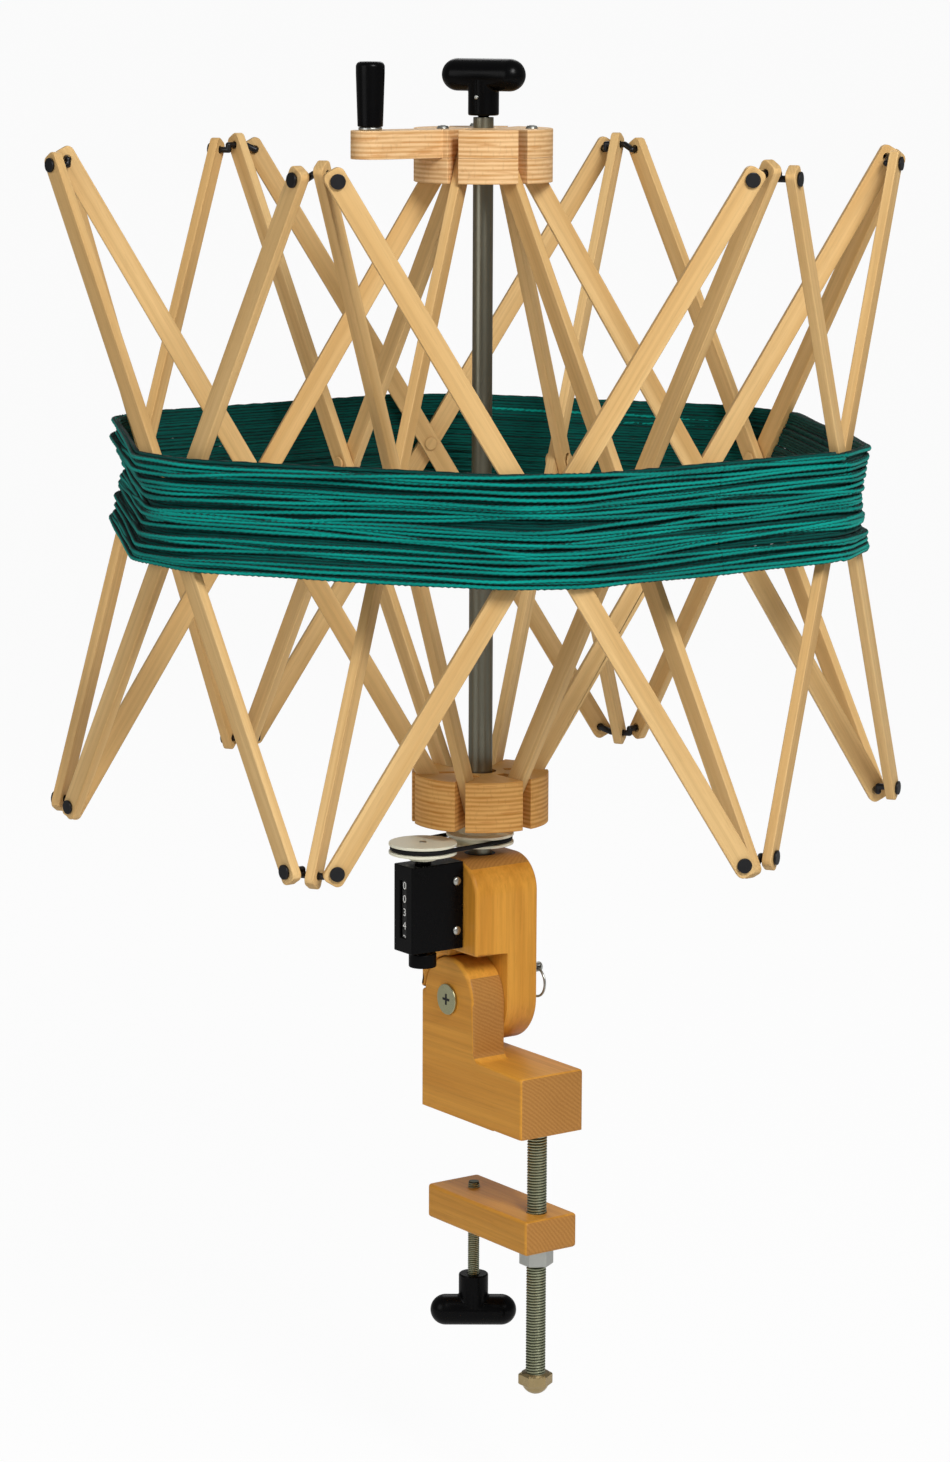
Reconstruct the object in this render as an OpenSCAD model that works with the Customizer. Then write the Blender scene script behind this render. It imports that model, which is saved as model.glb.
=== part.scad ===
// Umbrella swift: a table-clamped skein winder with a folding slat cage,
// a crank, a turn counter and a head that tilts a quarter turn.
// Lengths in millimetres, angles in degrees. The origin is on the spin axis
// at the underside of the base; +X points away from the table edge, +Z up.

/* [Slats] */
// Distance between the end pivots of every slat
slat_pitch = 580; // [400:1:700]
// Slat width
slat_width = 16; // [12:0.5:18]
// Slat thickness
slat_thick = 7.6; // [5:0.1:8]
// Reach of a slat beyond its end pivot
slat_reach = 9; // [7:0.5:10]
// Corner radius of the slat ends
slat_corner = 5; // [2:0.5:6]
// Clear gap between slats that cross
slat_gap = 1.2; // [0.8:0.1:1.6]
// Lean of the face slats from the vertical
spread = 31; // [24:0.5:34]
// Direction of the first tip from +X
first_tip = 3.2; // [0:0.1:8]

/* [Tip pins] */
// Diameter of the bent tip pins
pin_d = 5; // [4:0.1:5.4]
// Diameter of the pin heads
pin_head_d = 11; // [8:0.5:13]
// Thickness of the pin heads
pin_head_h = 2; // [1:0.1:3]
// Half the spacing of the two legs of a tip pin
tip_leg = 16.9; // [16:0.1:19]
// How far the journal lies inside the legs
journal_setback = 6; // [5.5:0.1:6.5]
// How far the journal lies beyond the legs in height
journal_rise = 4; // [3.6:0.1:6]
// Radial play of a pin in its slat
pin_play = 0.45; // [0.4:0.05:0.6]
// Radial play of the pins where the radial slats cross
cross_play = 2.1; // [2:0.1:2.6]

/* [Hubs] */
// Radius of both hubs
hub_r = 54.4; // [50:0.2:60]
// Radius of the slat pivots in the hubs
hub_pivot_r = 32; // [30:0.5:36]
// Underside of the lower hub
lower_hub_z = 237.5; // [236:0.5:250]
// Thickness of the lower hub
lower_hub_h = 40; // [36:0.5:44]
// Slat pivots above the underside of the lower hub
lower_pivot_h = 20.8; // [16:0.1:24]
// Thickness of the upper disc
upper_disc_h = 19.6; // [17:0.1:22]
// Thickness of the crank plate
crank_plate_h = 21.6; // [18:0.1:24]
// Slat pivots below the seam of the upper hub
seam_drop = 4.5; // [4:0.1:8]
// Length of the hub cross-pins beyond the slat on each side
hub_pin_reach = 5; // [3:0.5:6]
// Side clearance of a slat in its slot
slot_play = 0.4; // [0.3:0.05:0.6]
// Hub screws, pitch radius
screw_r = 40; // [36:0.5:44]

/* [Crank] */
// Crank radius, spin axis to grip
crank_r = 110; // [90:1:120]
// Width of the crank arm
crank_w = 30; // [24:0.5:36]
// Largest radius of the grip
grip_r = 11; // [10:0.1:13]
// Radius of the grip at its foot
grip_foot_r = 9.4; // [9:0.1:11]
// Height of the grip
grip_h = 49; // [40:0.5:60]
// Thickness of the washer under the grip
washer_h = 2.2; // [1.5:0.1:3]
// Diameter of the grip bolt
grip_bolt_d = 6.4; // [5:0.1:8]

/* [Shaft] */
// Outside diameter of the upper tube
inner_tube_d = 15.875; // [14:0.005:16]
// Outside diameter of the lower tube
outer_tube_d = 19.05; // [18.8:0.01:20]
// Wall of the upper tube
inner_tube_wall = 1.25; // [1:0.05:1.6]
// Wall of the lower tube
outer_tube_wall = 1.05; // [0.9:0.01:1.1]
// Top of the lower tube
outer_tube_top = 480; // [440:1:500]
// Foot of the lower tube
outer_tube_foot = 146; // [146:0.5:156]
// Foot of the upper tube
inner_tube_foot = 340; // [300:1:380]
// Upper tube above the crank plate
inner_tube_rise = 8.2; // [6:0.1:12]
// Largest radius of the shaft bushes
bush_r = 12.5; // [11.5:0.1:14]
// Length of a shaft bush
bush_h = 14; // [10:0.5:18]

/* [Twist handles] */
// Length of a handle bar
handle_len = 70; // [60:1:80]
// Diameter of a handle bar
handle_d = 25; // [22:0.5:28]
// Diameter of a handle stem
handle_stem_d = 24; // [20:0.5:24.5]
// Stem length from its free end to the middle of the bar
handle_stem = 31.1; // [26:0.1:38]
// Turn of the upper handle from +X
lock_turn = 27; // [0:1:180]
// Turn of the clamp handle from +X
clamp_turn = 55; // [0:1:180]
// Diameter of the lock rod inside the upper tube
lock_rod_d = 8; // [6:0.1:10]
// Length of the lock rod below the upper handle
lock_rod_len = 110; // [80:1:160]

/* [Base] */
// Foot reach behind the spin axis
base_back = 38; // [36.5:0.5:44]
// Foot reach in front of the spin axis
base_front = 100; // [98:0.5:120]
// Half width of the base and the head
block_half = 30.25; // [29:0.25:32]
// Height of the foot
foot_h = 50; // [44:0.5:50]
// Height of the tilt pivot
tilt_z = 95; // [95:0.5:98]
// Radius of the rounded upright
upright_r = 34; // [32.5:0.1:34]
// Shoulder of the upright above the pivot
shoulder = 2; // [0.5:0.1:2]
// Fillet between upright and foot
foot_fillet = 8; // [4:0.5:8]
// Relief under the nose of the foot
nose_relief = 0.6; // [0.4:0.1:1.5]
// Where the relief starts, from the spin axis
nose_start = 62; // [50:1:66]

/* [Head] */
// Top of the head block
head_top = 211; // [208:0.5:213]
// Underside of the head block on the front side
head_under = 135.6; // [134:0.1:138]
// Half length of the head block
head_half = 38; // [36.5:0.5:40]
// Radius of the rounded top corners
head_round = 28; // [20:0.5:34]
// Running gap between the two lapped halves
lap_gap = 0.4; // [0.3:0.05:0.8]
// Gap over the rounded upright
round_gap = 0.7; // [0.5:0.1:1]

/* [Tilt pivot and lock] */
// Diameter of the pivot bolt
pivot_d = 10; // [8:0.1:12]
// Diameter of the pivot bolt heads
pivot_head_d = 25; // [20:0.5:28]
// Height of the pivot bolt heads
pivot_head_h = 2.2; // [1.5:0.1:3]
// Lock pin from the spin axis
lock_x = 18; // [16:0.5:19]
// Lock pin above the pivot
lock_up = 20; // [18:0.5:21]
// Diameter of the lock pin
lock_d = 8; // [6:0.1:9]
// Depth of the lock pin nose in the base
lock_nose = 13; // [10:0.5:16]
// Length of the lock pin outside the head
lock_out = 17; // [15:0.5:20]
// Outside diameter of the pull ring
ring_d = 26; // [22:0.5:30]
// Wire of the pull ring
ring_wire = 2; // [1.6:0.1:2.4]

/* [Counter] */
// Counter axis from the spin axis along X
count_x = 8; // [6:0.5:10]
// Counter axis from the spin axis along -Y
count_y = 61; // [60:0.5:64]
// Width of the counter case
count_w = 26; // [25:0.5:28]
// Depth of the counter case
count_d = 49.5; // [49:0.5:56]
// Foot of the counter case
count_z = 141; // [140:0.5:146]
// Height of the counter case
count_h = 70; // [60:0.5:70]
// Radius of the number wheels
wheel_r = 11; // [9:0.1:11.2]
// Pulley radius
pulley_r = 27; // [25:0.2:29]
// Middle height of the belt
belt_z = 223.5; // [222:0.5:224]
// Diameter of the belt
belt_d = 3.6; // [3:0.1:4]
// Thickness of the pulley rims
pulley_h = 9; // [8:0.1:9]
// Radius of the reset knob
reset_r = 11; // [9:0.1:12]
// Height of the reset knob
reset_h = 11; // [9:0.1:12]

/* [Clamp] */
// Clamp post from the spin axis
post_x = 80; // [76:0.5:84]
// Diameter of the clamp post
post_d = 15.9; // [14:0.1:17]
// Depth of the post in the foot
post_in = 38; // [25:0.5:40]
// Length of the post below the base
post_out = 200; // [190:1:220]
// Back end of the clamp bar behind the spin axis
bar_back = 36; // [30:0.5:44]
// Front end of the clamp bar
bar_front = 100; // [96:0.5:110]
// Half width of the clamp bar
bar_half = 25; // [20:0.5:28]
// Thickness of the clamp bar
bar_h = 28; // [22:0.5:30]
// Top of the clamp bar below the base
bar_drop = 67; // [67:0.5:75]
// Hexagon nuts across the flats
nut_af = 24; // [22:0.5:27]
// Height of the hexagon nut
nut_h = 14; // [11:0.5:16]
// Clamp screw from the spin axis
clamp_x = -6; // [-12:0.5:0]
// Diameter of the clamp screw
clamp_d = 9.5; // [8:0.1:11]
// Tip of the clamp screw above the clamp bar
clamp_tip = 5; // [4.5:0.5:6]
// Top of the clamp handle below the base
clamp_handle_drop = 139.4; // [136:0.1:150]

/* [Yarn] */
// Height of the skein
skein_h = 86; // [60:1:90]
// Thickness of the wound band
skein_core = 8.4; // [3:0.1:9]
// Half the length over which the yarn lies flat on a slat
skein_flat = 36; // [36:1:45]

/* [Hidden] */
$fn = 64;

// The cage: side legs, journals and hub pivots all follow from the slat.
face_half = slat_pitch * sin(spread) / 2;
face_rise = slat_pitch * cos(spread);
leg_r = (face_half + tip_leg * cos(30)) / sin(30);
face_mid = leg_r * cos(30) + tip_leg * sin(30);
journal_r = leg_r - journal_setback;
arm_lean = asin((journal_r - hub_pivot_r) / slat_pitch);
arm_rise = slat_pitch * cos(arm_lean);
low_pivot_z = lower_hub_z + lower_pivot_h;
up_journal_z = low_pivot_z + arm_rise;
up_leg_z = up_journal_z - journal_rise;
low_leg_z = up_leg_z - face_rise;
low_journal_z = low_leg_z - journal_rise;
up_pivot_z = low_journal_z + arm_rise;
mid_z = (up_leg_z + low_leg_z) / 2;
// Where the radial slats cross, as a length from the hub pivot
cross_at = slat_pitch * (1 - (face_rise + 2 * journal_rise) / (2 * arm_rise)) - 0.85;
layer = (slat_thick + slat_gap) / 2;
side = slat_thick / 2 + 0.2;
outer_in = face_mid + layer - slat_thick / 2;
outer_out = face_mid + layer + slat_thick / 2;
inner_in = face_mid - layer - slat_thick / 2;
inner_out = face_mid - layer + slat_thick / 2;
pin_r = pin_d / 2;
head_gap = 0.35;

// Bends of a tip pin: on the outer-layer side, and on the inner-layer side
bend_o = [journal_r, tip_leg - journal_setback * tan(30)];
bend_i_in = face_mid - (inner_in - pin_r - 0.8);
bend_i = [leg_r - bend_i_in * cos(30), tip_leg - bend_i_in * sin(30)];
journal_end = slat_gap / 2 - 0.6 + pin_r + 0.9;

// Hubs and shaft
seam_z = up_pivot_z + seam_drop;
upper_hub_z = seam_z - upper_disc_h;
crank_top = seam_z + crank_plate_h;
slot_in = hub_pivot_r - slat_reach * sin(arm_lean) - slat_width / 2 * cos(arm_lean) - 0.8;
crank_dir = first_tip + 270;
tube_top = crank_top + inner_tube_rise;
handle_z = tube_top + 1.3;
bore_floor = outer_tube_foot - 0.5;
groove_r = pulley_r - belt_d / 2 - 0.9;
count_reach = norm([count_x, count_y]);
count_dir = atan2(-count_y, count_x);
case_top = count_z + count_h;
lock_r = norm([lock_x, lock_up]);
lock_angle = atan2(lock_up, lock_x);
ring_r = (ring_d - ring_wire) / 2;
nut_r = nut_af / 2 / cos(30);
skein_in = outer_out + 0.6;

// Corners of the skein at a given distance from the slat faces: two at each slat crossing
function skein_ring(a, f) = [for (k = [0:5], s = [-1, 1])
    let(d = first_tip + 30 + 60 * k) [a * cos(d) - s * f * sin(d), a * sin(d) + s * f * cos(d)]];
echo(heights = [low_pivot_z, low_journal_z, low_leg_z, mid_z, up_leg_z, up_journal_z, up_pivot_z]);

// Helpers

// A rectangle with rounded corners, x wide and y long
module rounded(w, l, r) {
    square([w - 2 * r, l], center = true);
    square([w, l - 2 * r], center = true);
    for (x = [-1, 1], y = [-1, 1]) translate([x * (w / 2 - r), y * (l / 2 - r)]) circle(r);
}

// Face slat: stands on Z, thickness along X; hole list = [height, radius]
module face_board(holes) {
    difference() {
        rotate([90, 0, 90]) linear_extrude(slat_thick, center = true)
            rounded(slat_width, slat_pitch + 2 * slat_reach, slat_corner);
        for (h = holes) translate([0, 0, h[0]]) rotate([0, 90, 0]) cylinder(h = slat_thick + 2, r = h[1], center = true);
    }
}

// Radial slat: stands on Z, thickness along Y
module arm_board(holes) {
    rotate([0, 0, 90]) face_board(holes);
}

module tip(k) { rotate([0, 0, first_tip + 60 * (k - 1)]) children(); }
module face(k) { rotate([0, 0, first_tip + 60 * (k - 1) + 30]) children(); }
module along_y(h, r) { rotate([90, 0, 0]) cylinder(h = h, r = r, center = true); }

// A straight run of wire between two points
module wire(p, q, r) {
    d = q - p;
    translate(p) rotate([0, acos(d[2] / norm(d)), atan2(d[1], d[0])]) cylinder(h = norm(d), r = r);
}

// Extrude an (x, z) outline between two values of y
module slab_y(y0, y1) { translate([0, y1, 0]) rotate([90, 0, 0]) linear_extrude(y1 - y0) children(); }

// Cage

// Radial slat from the lower hub to an upper tip, with its hub pin and the pin where it crosses
module lower_arm(k) {
    tip(k) {
        color("wheat") translate([(hub_pivot_r + journal_r) / 2, side, (low_pivot_z + up_journal_z) / 2])
            rotate([0, arm_lean, 0])
                arm_board([[-slat_pitch / 2, pin_r + 0.03], [slat_pitch / 2, pin_r + pin_play],
                           [cross_at - slat_pitch / 2, pin_r + 0.03]]);
        color("dimgray") translate([hub_pivot_r, side, low_pivot_z]) along_y(slat_thick + 2 * hub_pin_reach, pin_r);
        color("black") translate([hub_pivot_r, 0, low_pivot_z]) rotate([0, arm_lean, 0]) translate([0, 0, cross_at]) {
            along_y(2 * (side + slat_thick / 2 + head_gap), pin_r);
            for (s = [-1, 1]) translate([0, s * (side + slat_thick / 2 + head_gap + pin_head_h / 2), 0])
                along_y(pin_head_h, pin_head_d / 2);
        }
    }
}

// Radial slat from the upper hub to a lower tip, with its hub pin
module upper_arm(k) {
    tip(k) {
        color("wheat") translate([(hub_pivot_r + journal_r) / 2, -side, (up_pivot_z + low_journal_z) / 2])
            rotate([0, -arm_lean, 0])
                arm_board([[slat_pitch / 2, pin_r + 0.03], [-slat_pitch / 2, pin_r + pin_play],
                           [slat_pitch / 2 - cross_at, pin_r + cross_play]]);
        color("dimgray") translate([hub_pivot_r, -side, up_pivot_z]) along_y(slat_thick + 2 * hub_pin_reach, pin_r);
    }
}

// Outer face slat, from upper tip k down to lower tip k+1, with the rivet where it crosses
module outer_slat(k) {
    face(k) translate([face_mid, 0, mid_z]) {
        color("wheat") translate([layer, 0, 0]) rotate([spread, 0, 0])
            face_board([[-slat_pitch / 2, pin_r + pin_play], [slat_pitch / 2, pin_r + pin_play], [0, pin_r + 0.03]]);
        color("black") {
            rotate([0, 90, 0]) translate([0, 0, -layer - slat_thick / 2 - head_gap])
                cylinder(h = 2 * layer + slat_thick + head_gap, r = pin_r);
            rotate([0, 90, 0]) translate([0, 0, -layer - slat_thick / 2 - head_gap - pin_head_h])
                cylinder(h = pin_head_h, r = pin_head_d / 2);
        }
    }
}

// Inner face slat, from lower tip k up to upper tip k+1
module inner_slat(k) {
    color("wheat") face(k) translate([face_mid - layer, 0, mid_z]) rotate([-spread, 0, 0])
        face_board([[-slat_pitch / 2, pin_r + pin_play], [slat_pitch / 2, pin_r + pin_play], [0, pin_r + pin_play]]);
}

// Bent pin of a tip. s = 1 for the side of the outer layer at +Y, -1 at -Y; up = 1 for the upper tips
module tip_pin(s, up) {
    o = [bend_o[0], s * bend_o[1], 0];
    i = [bend_i[0], -s * bend_i[1], 0];
    jo = [journal_r, s * bend_o[1], up * journal_rise];
    ji = [journal_r, -s * journal_end, up * journal_rise];
    wire(o, jo, pin_r);
    wire(jo, ji, pin_r);
    wire(ji, i, pin_r);
    for (p = [o, jo, ji, i]) translate(p) sphere(pin_r + 0.02);
    rotate([0, 0, s * 30]) translate([0, -s * face_half, 0]) rotate([0, 90, 0]) {
        translate([0, 0, o[0] * cos(30) + bend_o[1] * sin(30)])
            cylinder(h = outer_out + head_gap + pin_head_h - o[0] * cos(30) - bend_o[1] * sin(30), r = pin_r);
        translate([0, 0, outer_out + head_gap]) cylinder(h = pin_head_h, r = pin_head_d / 2);
    }
    rotate([0, 0, -s * 30]) translate([0, s * face_half, 0]) rotate([0, 90, 0]) {
        translate([0, 0, face_mid - bend_i_in])
            cylinder(h = inner_out + head_gap + pin_head_h - face_mid + bend_i_in, r = pin_r);
        translate([0, 0, inner_out + head_gap]) cylinder(h = pin_head_h, r = pin_head_d / 2);
    }
}

module upper_tip_pin(k) { color("black") tip(k) translate([0, 0, up_leg_z]) tip_pin(1, 1); }
module lower_tip_pin(k) { color("black") tip(k) translate([0, 0, low_leg_z]) tip_pin(-1, -1); }

// Hubs

// Slots of a hub; s = 1 for the slats at +Y of their tip's radius, -1 at -Y
module hub_slots(s, z0, h, long) {
    for (k = [1:6]) tip(k) translate([slot_in, s * side - slat_thick / 2 - slot_play, z0])
        cube([long - slot_in, slat_thick + 2 * slot_play, h]);
}

// Holes for the cross-pins that the slats turn on
module hub_holes(s, pivot, play) {
    for (k = [1:6]) tip(k) translate([hub_pivot_r, s * side, pivot])
        along_y(slat_thick + 2 * hub_pin_reach + 1, pin_r + play);
}

module lower_hub() {
    color("burlywood") difference() {
        translate([0, 0, lower_hub_z]) cylinder(h = lower_hub_h, r = hub_r);
        translate([0, 0, lower_hub_z - 1]) cylinder(h = lower_hub_h + 2, r = outer_tube_d / 2 + 0.05);
        translate([0, 0, lower_hub_z + lower_hub_h - 4]) cylinder(h = 5, r = outer_tube_d / 2 + 3);
        hub_slots(1, lower_hub_z - 1, lower_hub_h + 2, hub_r + 1);
        hub_holes(1, low_pivot_z, 0.3);
    }
}

// Outline of the crank plate, arm along +X: round the disc, out along the arm, round its end
function crank_outline(r) = let(meet = asin(crank_w / 2 / r), open = 360 - 2 * meet) concat(
    [for (i = [0:90]) let(a = meet + open * i / 90) [r * cos(a), r * sin(a)]],
    [for (i = [0:30]) let(a = 6 * i - 90) [crank_r + crank_w / 2 * cos(a), crank_w / 2 * sin(a)]]);

// Two plywood layers; the upper one runs out into the crank arm
module upper_hub() {
    color("burlywood") difference() {
        translate([0, 0, upper_hub_z]) cylinder(h = upper_disc_h - 0.1, r = hub_r - 0.4);
        translate([0, 0, upper_hub_z - 1]) cylinder(h = upper_disc_h + 2, r = inner_tube_d / 2 + 0.05);
        hub_slots(-1, upper_hub_z - 1, upper_disc_h + 2, hub_r + 1);
        hub_holes(-1, up_pivot_z, 0.75);
    }
    color("burlywood") difference() {
        translate([0, 0, seam_z]) rotate(crank_dir) linear_extrude(crank_plate_h) polygon(crank_outline(hub_r - 0.4));
        translate([0, 0, seam_z - 1]) cylinder(h = crank_plate_h + 2, r = inner_tube_d / 2 + 0.05);
        hub_slots(-1, seam_z - 1, crank_plate_h + 2, hub_r + 1);
        rotate(crank_dir) translate([crank_r, 0, seam_z]) {
            translate([0, 0, -1]) cylinder(h = crank_plate_h + 2, r = grip_bolt_d / 2 + 0.05);
            translate([0, 0, -1]) cylinder(h = 5.2, r = 7.3);
        }
        for (a = [0, 120, 240]) rotate(first_tip + 30 + a) translate([screw_r, 0, seam_z - 1])
            cylinder(h = crank_plate_h + 2, r = 2.55);
    }
}

// Screws that hold the two layers, and the bolt that carries the grip
module upper_hub_screws() {
    color("silver") for (a = [0, 120, 240]) rotate(first_tip + 30 + a) translate([screw_r, 0, 0]) {
        translate([0, 0, seam_z + 0.1]) cylinder(h = crank_plate_h, r = 2.5);
        translate([0, 0, crank_top + 0.1]) cylinder(h = 2.4, r1 = 5, r2 = 3.6);
    }
    color("silver") rotate(crank_dir) translate([crank_r, 0, 0]) {
        translate([0, 0, seam_z + 0.4]) cylinder(h = crank_plate_h + washer_h + grip_h - 12, r = grip_bolt_d / 2);
        translate([0, 0, seam_z + 0.4]) cylinder(h = 3.7, r = 7);
        translate([0, 0, crank_top + 0.1]) difference() {
            cylinder(h = washer_h, r = 9);
            translate([0, 0, -1]) cylinder(h = washer_h + 2, r = grip_bolt_d / 2 - 0.2);
        }
    }
}

// Turned grip that spins on its bolt
module crank_grip() {
    z0 = crank_top + washer_h + 0.4;
    color("black") rotate(crank_dir) translate([crank_r, 0, z0]) difference() {
        rotate_extrude() {
            polygon([[0, 0], [grip_foot_r, 0], [grip_foot_r + 0.3, 0.8], [grip_r, grip_h - 9], [grip_r, grip_h - 4], [0, grip_h - 4]]);
            translate([0, grip_h - 4]) square([grip_r - 4, 4]);
            translate([grip_r - 4, grip_h - 4]) circle(4);
        }
        translate([0, 0, -1]) cylinder(h = grip_h - 10.4, r = grip_bolt_d / 2 + 0.12);
    }
}

// Shaft

module tube(z0, z1, d, wall) {
    difference() {
        translate([0, 0, z0]) cylinder(h = z1 - z0, r = d / 2);
        translate([0, 0, z0 - 1]) cylinder(h = z1 - z0 + 2, r = d / 2 - wall);
    }
}

module inner_tube() { color("silver") tube(inner_tube_foot, tube_top, inner_tube_d, inner_tube_wall); }
module outer_tube() { color("gray") tube(outer_tube_foot, outer_tube_top, outer_tube_d, outer_tube_wall); }

// A T-shaped handle; stem_up = 1 if the bar lies above the free end of the stem
module t_handle(free_z, up, turn) {
    translate([0, 0, free_z + (up > 0 ? 0 : -handle_stem)]) cylinder(h = handle_stem, r = handle_stem_d / 2);
    translate([0, 0, free_z + up * handle_stem]) rotate([0, 90, turn]) {
        cylinder(h = handle_len - handle_d, r = handle_d / 2, center = true);
        for (s = [-1, 1]) translate([0, 0, s * (handle_len - handle_d) / 2]) sphere(handle_d / 2);
    }
}

// Upper handle with the rod and plug that lock the two tubes
module lock_handle() {
    color("black") {
        t_handle(handle_z, 1, lock_turn);
        translate([0, 0, handle_z - lock_rod_len]) cylinder(h = lock_rod_len + 2, r = lock_rod_d / 2);
        translate([0, 0, handle_z - lock_rod_len]) cylinder(h = 18, r = inner_tube_d / 2 - inner_tube_wall - 0.3);
    }
}

// Head and base

module head_block() {
    color("peru") difference() {
        union() {
            slab_y(-block_half, block_half) {
                translate([-head_half, head_under]) square([2 * head_half, head_top - head_round - head_under]);
                translate([head_round - head_half, head_top - head_round - 1])
                    square([2 * (head_half - head_round), head_round + 1]);
                for (s = [-1, 1]) translate([s * (head_half - head_round), head_top - head_round]) circle(head_round);
            }
            slab_y(lap_gap, block_half) {
                translate([-head_half, tilt_z]) square([2 * head_half, head_under + 1 - tilt_z]);
                translate([0, tilt_z]) circle(head_half);
            }
            slab_y(-block_half, lap_gap) difference() {
                translate([-head_half, tilt_z + shoulder + 1]) square([head_half, head_under - tilt_z - shoulder]);
                translate([0, tilt_z]) circle(upright_r + round_gap);
            }
        }
        translate([0, 0, bore_floor]) cylinder(h = head_top, r = bush_r + 0.05);
        translate([0, block_half / 2, tilt_z]) along_y(block_half + 2, pivot_d / 2 + 0.15);
        translate([lock_x, block_half / 2, tilt_z + lock_up]) along_y(block_half + 2, lock_d / 2 + 0.15);
    }
}

// Two plain bushes for the lower tube, at the foot and at the mouth of the bore
module shaft_bushes() {
    color("dimgray") for (z = [bore_floor + 0.2, head_top - bush_h]) difference() {
        translate([0, 0, z]) cylinder(h = bush_h, r = bush_r);
        translate([0, 0, z - 1]) cylinder(h = bush_h + 2, r = outer_tube_d / 2 + 0.12);
    }
}

module base_block() {
    color("peru") difference() {
        union() {
            translate([-base_back, -block_half, 0]) cube([base_back + base_front, 2 * block_half, foot_h]);
            slab_y(-block_half, 0) {
                translate([-base_back, foot_h - 1]) square([base_back + upright_r, tilt_z - foot_h + 1]);
                translate([-base_back, tilt_z - 1]) square([base_back, shoulder + 1]);
                translate([0, tilt_z]) circle(upright_r);
                difference() {
                    translate([upright_r - 1, foot_h - 1]) square([foot_fillet + 1, foot_fillet + 1]);
                    translate([upright_r + foot_fillet, foot_h + foot_fillet]) circle(foot_fillet);
                }
            }
        }
        translate([nose_start, -block_half - 1, -1]) cube([base_front, 2 * block_half + 2, 1 + nose_relief]);
        translate([post_x, 0, -1]) cylinder(h = post_in + 3, r = post_d / 2 + 0.05);
        translate([0, -block_half / 2, tilt_z]) along_y(block_half + 2, pivot_d / 2 + 0.05);
        // Quarter-circle groove for the nose of the lock pin
        translate([0, 1, tilt_z]) rotate([90, 0, 0]) {
            rotate([0, 0, lock_angle - 90]) rotate_extrude(angle = 90)
                translate([lock_r - lock_d / 2 - 0.4, 0]) square([lock_d + 0.8, lock_nose + 1.5]);
            for (a = [lock_angle - 90, lock_angle]) rotate([0, 0, a]) translate([lock_r, 0, 0])
                cylinder(h = lock_nose + 1.5, r = lock_d / 2 + 0.4);
        }
    }
}

// Pivot bolt with a flat head at the front and a matching nut at the back
module pivot_bolt() {
    color("silver") translate([0, 0, tilt_z]) {
        along_y(2 * block_half + 0.4, pivot_d / 2);
        for (s = [-1, 1]) translate([0, s * (block_half + 0.2 + pivot_head_h / 2), 0]) along_y(pivot_head_h, pivot_head_d / 2);
    }
}

// Spring lock pin of the tilt, with a cross hole for its ring
module lock_pin() {
    y1 = block_half + lock_out;
    color("dimgray") translate([lock_x, 0, tilt_z + lock_up]) difference() {
        union() {
            translate([0, (y1 - lock_nose) / 2, 0]) along_y(y1 + lock_nose, lock_d / 2);
            translate([0, block_half + 0.3 + 4.5, 0]) along_y(9, lock_d / 2 + 2);
        }
        translate([0, y1 - 4, 0]) rotate([0, 90, 0]) cylinder(h = lock_d + 2, r = ring_wire / 2 + 0.95, center = true);
    }
}

module pull_ring() {
    color("silver") translate([lock_x, block_half + lock_out - 4, tilt_z + lock_up - ring_r]) rotate([90, 0, 0])
        rotate_extrude() translate([ring_r, 0]) circle(ring_wire / 2);
}

// Counter

module counter_case() {
    y0 = -block_half - 0.2;
    color([0.08, 0.08, 0.08]) difference() {
        union() {
            translate([count_x, y0 - count_d / 2, count_z]) linear_extrude(count_h) rounded(count_w, count_d, 1.5);
            translate([count_x, -count_y, case_top - 1]) cylinder(h = 3.5, r = 6.5);
        }
        translate([count_x, y0 - count_d + 12.6, count_z + 8]) cylinder(h = count_h - 16, r = wheel_r + 0.6);
        translate([count_x - 4.5, y0 - count_d - 1, count_z + 12]) cube([9, 14, count_h - 24]);
        translate([count_x, -count_y, case_top - 5]) cylinder(h = 10, r = 3.2);
        translate([count_x, -count_y, count_z - 1]) cylinder(h = 5, r = 3.2);
    }
    // Five number wheels on one fixed axle
    color("white") for (i = [0:4])
        translate([count_x, y0 - count_d + 12.6, count_z + 8.2 + i * (count_h - 16.4) / 5])
            cylinder(h = (count_h - 16.4) / 5 - 0.3, r = wheel_r);
}

// Pulley with a round groove, its rim centred on the belt
module pulley(bore) {
    difference() {
        translate([0, 0, belt_z - pulley_h / 2]) cylinder(h = pulley_h, r = pulley_r);
        translate([0, 0, belt_z]) rotate_extrude() {
            translate([groove_r, 0]) circle(belt_d / 2 + 0.35);
            translate([groove_r, -belt_d / 2 - 0.35]) square([pulley_r, belt_d + 0.7]);
        }
        translate([0, 0, belt_z - pulley_h]) cylinder(h = 2 * pulley_h, r = bore);
    }
}

module counter_pulley() {
    color("white") translate([count_x, -count_y, 0]) {
        pulley(2.95);
        difference() {
            translate([0, 0, case_top + 2.9]) cylinder(h = belt_z - pulley_h / 2 - case_top - 2.8, r = 11);
            translate([0, 0, case_top]) cylinder(h = pulley_h, r = 2.95);
        }
    }
    color("silver") translate([count_x, -count_y, case_top - 4.5]) cylinder(h = belt_z + pulley_h / 2 - case_top + 5, r = 2.9);
}

module reset_knob() {
    color("black") translate([count_x, -count_y, 0]) {
        translate([0, 0, count_z - 2.5 - reset_h]) cylinder(h = reset_h, r = reset_r);
        translate([0, 0, count_z - 3]) cylinder(h = 6.5, r = 2.9);
    }
}

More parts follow.
